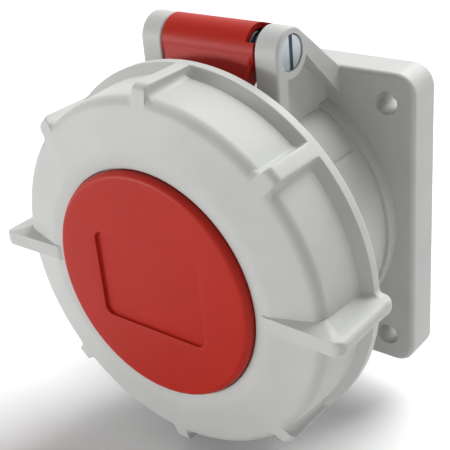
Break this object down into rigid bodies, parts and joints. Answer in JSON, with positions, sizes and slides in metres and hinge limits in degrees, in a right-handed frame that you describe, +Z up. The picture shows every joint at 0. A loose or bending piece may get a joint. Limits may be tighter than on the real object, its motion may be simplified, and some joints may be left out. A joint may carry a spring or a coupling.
{
  "type": "panel socket",
  "caption": "Industrial panel socket on a square flange, with a hinged red lid that a ribbed, winged grey ring locks; round contacts in a deep collar and wire terminals behind.",
  "frame": {"origin": "centre of the flange's back face, which lies on the panel", "axes": "+X to the right as seen from the front, +Z up towards the hinge, +Y back through the panel; the plug comes in along +Y"},
  "size_m": [0.097, 0.0812, 0.0965],
  "materials": {
    "grey_plastic": "fine satin moulding, light grey",
    "red_plastic": "fine satin moulding, signal red",
    "insulator": "matt black moulding",
    "rubber": "soft black rubber",
    "brass": "turned brass",
    "steel": "plated steel"
  },
  "bodies": {
    "housing": {"block_screw": "steel", "carrier_screws": "steel", "carrier_seal": "rubber", "closing_spring": "steel", "contact_carrier": "insulator", "contact_clip_l1": "steel", "contact_clip_l2": "steel", "contact_clip_l3": "steel", "contact_clip_n": "steel", "contact_clip_pe": "steel", "contact_l1": "brass", "contact_l2": "brass", "contact_l3": "brass", "contact_n": "brass", "contact_pe": "brass", "hinge_screw": "steel", "housing": "grey_plastic", "panel_gasket": "rubber", "terminal_block": "insulator", "terminal_screw_l1": "steel", "terminal_screw_l2": "steel", "terminal_screw_l3": "steel", "terminal_screw_n": "steel", "terminal_screw_pe": "steel"},
    "lid": {"lid_body": "red_plastic", "lid_disc": "red_plastic", "lid_seal": "rubber"},
    "ring": {"locking_ring": "grey_plastic"}
  },
  "joints": [
    {"name": "lid_hinge", "type": "hinge", "parent": "housing", "child": "lid", "pos_m": [0, -0.0269, 0.0458], "axis": [-1, 0, 0], "range_deg": [0, 150], "stiffness_Nm_per_rad": 0.05, "springref_deg": -57.3, "deforming": ["closing_spring"]},
    {"name": "ring_turn", "type": "hinge", "parent": "lid", "child": "ring", "pos_m": [0, -0.048, 0], "axis": [0, 1, 0], "range_deg": [0, 35]}
  ]
}
